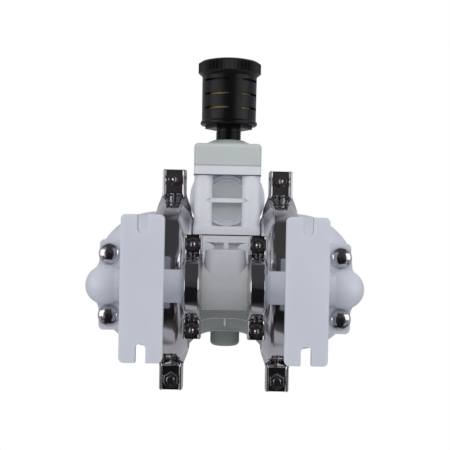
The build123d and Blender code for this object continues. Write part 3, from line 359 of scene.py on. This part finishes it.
OWN_FINISH = {
    "inlet_tee": "tee_plastic_painted_shade",
    "discharge_tee": "tee_plastic_painted_shade",
    "elbow_bolts": "head_steel",
    "large_clamp_screws": "head_steel",
    "muffler_gasket": "pale_gasket",
}
print("finishes", len(FINISH), "used", len(set(SLOT.values())))

# %% [markdown]
# ## Edges of the moulded pieces
# Moulded and machined pieces have no knife edges. Each solid keeps its shape; its facets are welded, smoothed
# and given a small rounded edge by modifiers, wider on moulded plastic than on fasteners.

# %% Dress the solids
MOULDED_EDGE = 0.45
EDGE = {"gasket_rubber": 0.08, "fastener_steel": 0.4, "porous_element": 0.2, "diaphragm_rubber": 0.15}
for name, piece in frame["nodes"].items():
    slot_name = SLOT[name]
    piece.data.materials.clear()
    piece.data.materials.append(FINISH[OWN_FINISH.get(name, slot_name)])
    weld = piece.modifiers.new("weld", "WELD")
    weld.merge_threshold = 1e-6
    edge = piece.modifiers.new("edge", "BEVEL")
    edge.width = EDGE.get(slot_name, MOULDED_EDGE) * MM
    edge.segments = 2
    edge.limit_method = "ANGLE"
    edge.angle_limit = radians(40)
    piece.data.shade_smooth()
    even = piece.modifiers.new("even", "WEIGHTED_NORMAL")
    even.keep_sharp = True
print("dressed", len(frame["nodes"]))

# %% [markdown]
# ## Shape helpers
# Every added piece is a closed skin: rings of points joined one to the next.


# %% Shape helpers
def rounded(points, radii, steps=4):
    """A closed outline with each corner replaced by a curve that starts at its radius from the corner."""
    out = []
    count = len(points)
    for i, corner in enumerate(points):
        corner, before, after = Vector(corner), Vector(points[i - 1]), Vector(points[(i + 1) % count])
        reach = min(radii[i], (before - corner).length * 0.49, (after - corner).length * 0.49)
        a = corner + (before - corner).normalized() * reach
        b = corner + (after - corner).normalized() * reach
        for k in range(steps + 1):
            t = k / steps
            out.append(a * (1 - t) ** 2 + corner * 2 * t * (1 - t) + b * t * t)
    return out


def smooth(t):
    """Goes from 0 to 1 with a level start and end."""
    return t * t * (3 - 2 * t)


def bridge(bm, one, two):
    """Joins two loops of as many vertices by quads."""
    for i in range(len(one)):
        j = (i + 1) % len(one)
        bm.faces.new((one[i], one[j], two[j], two[i]))


def tube_of_rings(bm, rings):
    """Joins rings of equal length to a closed skin, and caps both ends."""
    loops = [[bm.verts.new(v) for v in ring] for ring in rings]
    for one, two in zip(loops, loops[1:]):
        bridge(bm, one, two)
    bm.faces.new(loops[0])
    bm.faces.new(list(reversed(loops[-1])))


def band_of_rings(bm, rings):
    """Joins rings of equal length to a closed skin that runs back from the last ring to the first."""
    loops = [[bm.verts.new(v) for v in ring] for ring in rings]
    for i, loop in enumerate(loops):
        bridge(bm, loop, loops[(i + 1) % len(loops)])


def spun(bm, centre, out, profile, segments=64):
    """A closed skin of turned rings; the profile gives radius and height along the out direction."""
    angles = [2 * pi * k / segments for k in range(segments)]
    x, y, z = centre
    tube_of_rings(
        bm, [[((x + r * cos(a)) * MM, (y + r * sin(a)) * MM, (z + out * h) * MM) for a in angles] for r, h in profile]
    )


def to_piece(name, bm, material_name, nodes=(), bend=None):
    """Ends a skin as a piece on the housing; with bend=(body, start, end) the piece keeps a baked transform and is
    not attached, and body, start and end are not used.
    """
    bmesh.ops.recalc_face_normals(bm, faces=bm.faces)
    mesh = bpy.data.meshes.new(name)
    bm.to_mesh(mesh)
    bm.free()
    mesh.shade_smooth()
    mesh.set_sharp_from_angle(angle=radians(35))
    piece = bpy.data.objects.new(name, mesh)
    scene.collection.objects.link(piece)
    mesh.materials.append(FINISH[material_name])
    if nodes:
        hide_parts(*nodes)
    if bend:
        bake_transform(piece)
    else:
        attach(piece, "housing")
    return piece


print("shape helpers ready")

# %% [markdown]
# ## Clamp bands
# The bands are stamped from sheet: a V channel that rolls over the two flanges, with a channel lug at each end.
# They were pressed with soft corners, so each half is built here as a rounded section swept round its axis. A hump
# falls from the band to each lug at the band's own slope, and the lug's channel starts before the hump runs out.

# %% Clamp sizes, in millimetres
LARGE = SimpleNamespace(
    seat_half=10.65,  # the wedge where it starts on the flanges: half width and radius
    seat_r=47.95,
    rim_half=5.55,  # the wedge over the flanges' rim
    rim_r=54.3,
    sheet=1.6,
    crown=0.7,  # how much wider the outside's flat is than the rim on each side, as a share of the sheet
    fold_r=3.0,
    split=4.0,  # between the two halves
    lug_half=8.5,
    wall_t=1.7,
    wall_h=4.6,
    floor_t=2.0,
    hump_end=61.5,  # from the clamp's axis
    lug_end=77.1,
)
SMALL = SimpleNamespace(
    seat_half=5.05,
    seat_r=15.45,
    rim_half=2.8,
    rim_r=18.3,
    sheet=1.2,
    crown=1.35,
    fold_r=0.8,
    split=3.0,
    lug_half=6.0,
    wall_t=1.2,
    wall_h=3.4,
    floor_t=1.5,
    hump_end=22.5,
    lug_end=32.5,
)
print("lug ends", LARGE.lug_end, SMALL.lug_end)

# %% [markdown]
# The section of the strip and the rings of one lug, as functions of those sizes.

# %% Clamp forms
BAND_STEPS, LUG_STEPS = 72, 40
WALLS_FROM = 0.72  # the share of the hump's length where the lug's channel starts
SINK = 0.1  # how far the hump's foot lies inside the channel, so that their skins share no face


def strip_section(c):
    """Half width against radius, inside first and then outside."""
    crown_half = c.rim_half + c.crown * c.sheet
    inside = [(c.seat_half, c.seat_r), (c.rim_half, c.rim_r), (-c.rim_half, c.rim_r), (-c.seat_half, c.seat_r)]
    outside = [(-c.seat_half - c.sheet, c.seat_r), (-crown_half, c.rim_r + c.sheet)]
    outside += [(-x, r) for x, r in reversed(outside)]
    lip, bend = c.sheet * 0.4, c.sheet * 0.9
    return rounded(inside + outside, [lip, bend, bend, lip, lip, c.fold_r, c.fold_r, lip])


def hump_ring(c, u, wide, root_h, fall):
    """The hump's section at the share u of its length: broad at the foot, with a round back."""
    h = root_h * (1 - smooth(u)) + fall * u * (1 - u) ** 2 + (c.floor_t - 0.4) * smooth(u)
    foot = wide - SINK
    back = (c.rim_half - 0.8) * (1 - u) + (foot - 2.2) * u
    shoulder, shoulder_h = foot - 0.3, SINK + 0.22 * h
    outline = [(-foot, SINK), (foot, SINK), (shoulder, shoulder_h), (back, h), (-back, h), (-shoulder, shoulder_h)]
    return rounded(outline, [0.2, 0.2, 4.0, 6.0, 6.0, 4.0], 8)


def channel_ring(c, wide, wall_h):
    """The lug's section: a floor with two walls that lean in, and folds at its corners."""
    lip, fold, trough = c.wall_t * 0.45, c.wall_t * 1.4, (c.lug_half - c.wall_t) * 0.5
    lean, spread = c.wall_t * 0.5, c.wall_t * 0.12
    outline = [(lean - wide, wall_h), (-wide - spread, 0), (wide + spread, 0), (wide - lean, wall_h)]
    outline += [(wide - lean - c.wall_t, wall_h), (wide - c.wall_t, c.floor_t)]
    outline += [(c.wall_t - wide, c.floor_t), (c.wall_t + lean - wide, wall_h)]
    return rounded(outline, [lip, fold, fold, lip, lip, trough, trough, lip])


def lug_rings(c):
    """The rings of a lug's hump and of its channel, each with its distance from the clamp's axis."""
    root_h = sqrt((c.rim_r + c.sheet) ** 2 - c.seat_r**2) - c.split / 2 - 0.5
    fall = -c.seat_r / (root_h + c.split / 2) * (c.hump_end - c.seat_r)
    flare = c.seat_half + c.sheet - 0.15 - c.lug_half
    humps, channels = [], []
    for k in range(LUG_STEPS + 1):
        y = c.seat_r + (c.lug_end - c.seat_r) * k / LUG_STEPS
        u = min(1.0, (y - c.seat_r) / (c.hump_end - c.seat_r))
        at_end = k == LUG_STEPS
        wide = c.lug_half + flare * (1 - smooth(u)) - (0.5 if at_end else 0.0)
        if u < 1.0:
            humps.append((y, hump_ring(c, u, wide, root_h, fall)))
        if u > WALLS_FROM:
            channels.append((y, channel_ring(c, wide, c.wall_h * (0.8 if at_end else 1.0))))
    return humps, channels


def clamp_half(node, c, x_mid, axis_z, out):
    bm = bmesh.new()
    start = asin(c.split / 2 / c.rim_r)
    angles = [start + (pi - 2 * start) * k / BAND_STEPS for k in range(BAND_STEPS + 1)]
    section = strip_section(c)
    tube_of_rings(
        bm,
        [
            [(x_mid + x * MM, r * MM * cos(angle), axis_z + out * r * MM * sin(angle)) for x, r in section]
            for angle in angles
        ],
    )
    lug_z = axis_z + out * c.split / 2 * MM
    for way in (-1, 1):
        for rings in lug_rings(c):
            tube_of_rings(
                bm, [[(x_mid + a * MM, way * y * MM, lug_z + out * b * MM) for a, b in ring] for y, ring in rings]
            )
    return to_piece(f"band_{node}", bm, "polished_steel", (node,))


print("clamp forms ready")

# %% Clamp bands
for side_name, side in (("left", -1), ("right", 1)):
    for half_name, out in (("lower", -1), ("upper", 1)):
        clamp_half(f"large_clamp_{side_name}_{half_name}", LARGE, side * LARGE_CLAMP_X * MM, SHAFT_Z, out)
        for port, level in (("inlet", -1), ("discharge", 1)):
            node = f"{port}_clamp_{side_name}_{half_name}"
            clamp_half(node, SMALL, side * SMALL_CLAMP_X * MM, SHAFT_Z + level * RISE, out)

# %% [markdown]
# ## Dishes of the air valve
# Both ends of the valve's barrel are closed by a shallow dish with a raised rim. The dish's floor gets a darker
# copy of the valve plastic, painted shade of the recess, and its rim keeps the valve plastic.

# %% Valve dishes
SPOOL_Y, DISH_R, DISH_RISE = -55.5, 14.5, 18.0
bowl = [(0.4 + 1.3 * k, -0.55 + 0.35 * (k / 10) ** 2) for k in range(11)]
rim = [(DISH_R - 0.9, 0.05), (DISH_R - 0.55, 0.42), (DISH_R - 0.2, 0.42), (DISH_R, 0.1), (DISH_R, -0.9)]
bm = bmesh.new()
for out in (-1, 1):
    spun(bm, (0, SPOOL_Y, SHAFT_Z / MM + out * DISH_RISE), out, bowl + rim + [(0.4, -0.9)])
dishes = to_piece("valve_dishes", bm, "dish_plastic_painted_shade")
dishes.data.materials.append(FINISH["valve_plastic"])
# the floor gets the painted shade, the rim the valve plastic
for polygon in dishes.data.polygons:
    reach = (Vector(polygon.center[:2]) - Vector((0, SPOOL_Y * MM))).length
    polygon.material_index = 1 if reach > (DISH_R - 0.95) * MM else 0
print("dishes", 2, "radius_mm", DISH_R)

# %% [markdown]
# ## Joint and shadow line of the air valve
# The joint behind the valve's front flange shows as one dark line, which is also the shadow under the flange's edge,
# so a thin dark frame of gasket lies in it and paints that shadow.

# %% Joint line
LINE_Y, LINE_T, LINE_DEPTH, HALF_X, HALF_Z = -72.65, 0.45, 1.2, 22.66, 30.95


def frame_ring(y, inset):
    corners = [(-1, -1), (1, -1), (1, 1), (-1, 1)]
    return [((HALF_X - inset) * a * MM, y * MM, SHAFT_Z + (HALF_Z - inset) * b * MM) for a, b in corners]


outer = [frame_ring(LINE_Y, 0.0), frame_ring(LINE_Y, LINE_DEPTH)]
inner = [frame_ring(LINE_Y + LINE_T, LINE_DEPTH), frame_ring(LINE_Y + LINE_T, 0.0)]
bm = bmesh.new()
band_of_rings(bm, outer + inner)
# a dark frame at the joint that also paints the shadow under the flange's edge
to_piece("flange_joint_and_painted_shadow", bm, "gasket_rubber")
print("joint line at y_mm", LINE_Y)

# %% [markdown]
# ## Port blocks of the tees
# The branch of each tee swells into the run. A skin round the branch, with its bore left open, carries the blend:
# its sections go from a near circle at the port's face to a square-shouldered form that sinks into the run.

# %% Port blocks
FACE_Y, RUN_R, BLOCK_DEPTH, BLOCK_BORE_R = -23.5, 14.4, 12.3, 7.2
LIP, LIP_R, PORT_STEPS, PORT_POINTS = 0.6, 11.7, 24, 64


def port_ring(y, half_x, half_z, power):
    """A closed loop between a circle (power 2) and a square-shouldered form (higher power)."""
    ring = []
    for k in range(PORT_POINTS):
        c, s = cos(2 * pi * k / PORT_POINTS), sin(2 * pi * k / PORT_POINTS)
        x = half_x * abs(c) ** (2 / power) * (1 if c > 0 else -1)
        z = half_z * abs(s) ** (2 / power) * (1 if s > 0 else -1)
        ring.append((x, y, z))
    return ring


skin = []
for k in range(PORT_STEPS + 1):
    t = k / PORT_STEPS
    depth = RUN_R - 0.05 - (RUN_R - BLOCK_DEPTH) * smooth(min(1.0, t / 0.65))
    skin.append(port_ring((FACE_Y + LIP) * t, RUN_R - 2.0 * t**1.5, depth, 3.0 - 0.8 * t))
skin.append(port_ring(FACE_Y, LIP_R, BLOCK_DEPTH - LIP, 2.2))
skin += [port_ring(y, BLOCK_BORE_R, BLOCK_BORE_R, 2) for y in (FACE_Y, 0)]
for port, level in (("inlet", -1), ("discharge", 1)):
    bm = bmesh.new()
    band_of_rings(bm, [[(x * MM, y * MM, SHAFT_Z + level * RISE + z * MM) for x, y, z in ring] for ring in skin])
    to_piece(f"port_block_{port}", bm, "tee_plastic_painted_shade")
print("port blocks", 2)

# %% [markdown]
# ## Diaphragms
# Each diaphragm is cut into sectors that take the place of the solid diaphragm; each sector is a piece of its own,
# with its transform baked.

# %% Diaphragms
SECTORS, SECTOR_STEPS, FOLD_STEPS, BEAD_STEPS = 16, 6, 14, 10
MEMBRANE_T, FOLD_H, BORE_R, BEAD_MID_R, BEAD_R = 2.0, 3.4, 4.05, 50.5, 1.9
HUB_R, FLAT_R, FOLD_FROM_R, FOLD_TO_R, RIM_R = 12.0, 20.5, 24.0, 44.5, 47.5


def diaphragm_outline(side):
    """The section of the rolling membrane with its bead: pairs of distance along the shaft and radius."""
    fold = [FOLD_FROM_R + (FOLD_TO_R - FOLD_FROM_R) * k / FOLD_STEPS for k in range(FOLD_STEPS + 1)]
    middle_line = []
    for r in [BORE_R, HUB_R, FLAT_R] + fold + [RIM_R]:
        share = min(1.0, max(0.0, (r - FOLD_FROM_R) / (FOLD_TO_R - FOLD_FROM_R)))
        middle_line.append((LARGE_CLAMP_X + FOLD_H * sin(pi * share) ** 2, r))
    outer = [(side * (x + MEMBRANE_T / 2), r) for x, r in middle_line]
    inner = [(side * (x - MEMBRANE_T / 2), r) for x, r in reversed(middle_line)]
    bead = []
    for k in range(BEAD_STEPS + 1):
        angle = pi * (0.82 - 1.64 * k / BEAD_STEPS)
        bead.append((side * (LARGE_CLAMP_X + BEAD_R * sin(angle)), BEAD_MID_R + BEAD_R * cos(angle)))
    return outer + bead + inner


def about_shaft(x, r, angle):
    return (x * MM, r * sin(angle) * MM, SHAFT_Z - r * cos(angle) * MM)


for side_name, side in (("left", -1), ("right", 1)):
    section = diaphragm_outline(side)
    for sector in range(SECTORS):
        middle_angle = 2 * pi * sector / SECTORS
        angles = [middle_angle + pi / SECTORS * (2 * k / SECTOR_STEPS - 1) for k in range(SECTOR_STEPS + 1)]
        bm = bmesh.new()
        tube_of_rings(bm, [[about_shaft(x, r, angle) for x, r in section] for angle in angles])
        start, end = [about_shaft(side * LARGE_CLAMP_X, r, middle_angle) for r in (FOLD_TO_R, FLAT_R)]
        name = f"diaphragm_{side_name}_sector_{sector + 1}"
        to_piece(
            name, bm, "diaphragm_rubber", (f"diaphragm_{side_name}",), ("shaft", start, end)
        )
print("diaphragm sectors", 2 * SECTORS)

# %% [markdown]
# ## Bright crowns of the screws
# Each clamp screw shows a bright middle in a dark ring, so a low polished crown sits in its socket.

# %% Screw crowns
HEAD_H, CROWN_R, CROWN_STEPS, LARGE_SCREW_Y, SMALL_SCREW_Y = 4.83, 1.93, 8, 70.0, 26.7
large_top = LARGE.split / 2 + LARGE.floor_t + HEAD_H
small_top = RISE / MM + SMALL.split / 2 + SMALL.floor_t + HEAD_H
heads = []
for x in (-LARGE_CLAMP_X, LARGE_CLAMP_X):
    heads += [(x, way * LARGE_SCREW_Y, way * large_top, way) for way in (-1, 1)]
for x in (-SMALL_CLAMP_X, SMALL_CLAMP_X):
    heads += [(x, y, out * small_top, out) for y in (-SMALL_SCREW_Y, SMALL_SCREW_Y) for out in (-1, 1)]
crown = [(CROWN_R, -2.4), (CROWN_R, -0.75)]
for k in range(CROWN_STEPS - 1, -1, -1):
    share = k / CROWN_STEPS
    crown.append((CROWN_R * share + 0.02, -0.7 + 0.85 * (1 - share**2)))
bm = bmesh.new()
for x, y, head_top, out in heads:
    spun(bm, (x, y, SHAFT_Z / MM + head_top), out, crown, segments=24)
to_piece("screw_crowns", bm, "head_steel")
print("crowns", len(heads))

# %% [markdown]
# ## Thread on the muffler's neck
# The muffler screws into its plate with a pipe thread, and the last turns of it show. The solid has a plain neck,
# so the turns are added as one helical ridge of the right pitch on that neck, which fades out at both ends.

# %% Neck thread
PITCH, THREAD_H, NECK_R, THREAD_FROM_Y = 1.41 * MM, 0.55 * MM, 8.40 * MM, 98.6 * MM
TURNS, PER_TURN, FADE_STEPS = 4.6, 40, 14
sunk_r = NECK_R - 0.25 * MM
rings = []
for k in range(int(TURNS * PER_TURN) + 1):
    angle = 2 * pi * k / PER_TURN
    y = -(THREAD_FROM_Y + PITCH * k / PER_TURN)
    fade = min(1.0, k / FADE_STEPS, (TURNS * PER_TURN - k) / FADE_STEPS)
    crest_r = NECK_R - 0.1 * MM + (THREAD_H + 0.1 * MM) * max(0.0, fade)
    profile = [(-0.62, sunk_r), (-0.10, crest_r), (0.10, crest_r), (0.62, sunk_r)]
    rings.append([(r * cos(angle), y + a * PITCH * 0.75, SHAFT_Z + r * sin(angle)) for a, r in profile])
bm = bmesh.new()
tube_of_rings(bm, rings)
to_piece("neck_thread", bm, "muffler_plastic")
print("thread turns", TURNS, "pitch_mm", PITCH / MM)

# %% [markdown]
# ## Light ridges of the hourglass
# Two thin ridges cross the rear of the hourglass, and a short rib runs round its waist from one towards the other.
# The first ridge is taken for a mark of the mould, the second stands for a grazing highlight, and all three are given
# the light valve plastic over the darker centre section, a painted highlight along them. The waist is a short
# cylinder that runs out into a curve on both sides.

# %% Moulding ridges
WAIST_R, WAIST_HALF, WAIST_END_X, WAIST_END_R = 36.0, 7.0, 25.2, 45.6
curve_r = ((WAIST_END_X - WAIST_HALF) ** 2 + (WAIST_END_R - WAIST_R) ** 2) / (2 * (WAIST_END_R - WAIST_R))
RIDGE_STEPS, RIB_STEPS = 42, 12


def waist_at(x):
    return WAIST_R + curve_r - sqrt(curve_r**2 - max(0.0, abs(x) - WAIST_HALF) ** 2)


def cross_ridge(bm, degrees, half_length, height, half_width):
    """A ridge along the shaft's direction, so many degrees from the pump's lowest line towards its rear."""
    rings = []
    for k in range(RIDGE_STEPS + 1):
        x = -half_length + 2 * half_length * k / RIDGE_STEPS
        r = waist_at(x)
        around = half_width / r
        centre = radians(degrees + 1.2 * (x / 15) ** 2)
        steps = [(-around, r - 0.2), (-around / 2, r + height), (around / 2, r + height), (around, r - 0.2)]
        rings.append([about_shaft(x, ridge_r, centre + turn) for turn, ridge_r in steps])
    tube_of_rings(bm, rings)


def waist_rib(bm, from_degrees, over_degrees, height):
    """A rib round the waist in its middle plane, which runs out at both ends."""
    rings = []
    for k in range(RIB_STEPS + 1):
        angle = radians(from_degrees + over_degrees * k / RIB_STEPS)
        high = WAIST_R + height * min(1.0, (k + 1) / 2, (RIB_STEPS + 1 - k) / 2)
        steps = [(-0.85, WAIST_R - 0.3), (-0.75, high), (0.75, high), (0.85, WAIST_R - 0.3)]
        rings.append([about_shaft(x, r, angle) for x, r in steps])
    tube_of_rings(bm, rings)


bm = bmesh.new()
cross_ridge(bm, 41.5, 21, 0.35, 0.45)
cross_ridge(bm, 72.0, 19, 0.25, 0.35)
waist_rib(bm, 42.0, 13.0, 0.9)
# the light valve plastic paints a highlight along the ridges and the rib
to_piece("hourglass_ridges_painted_highlight", bm, "valve_plastic")
print("waist curve radius_mm", round(curve_r, 2))
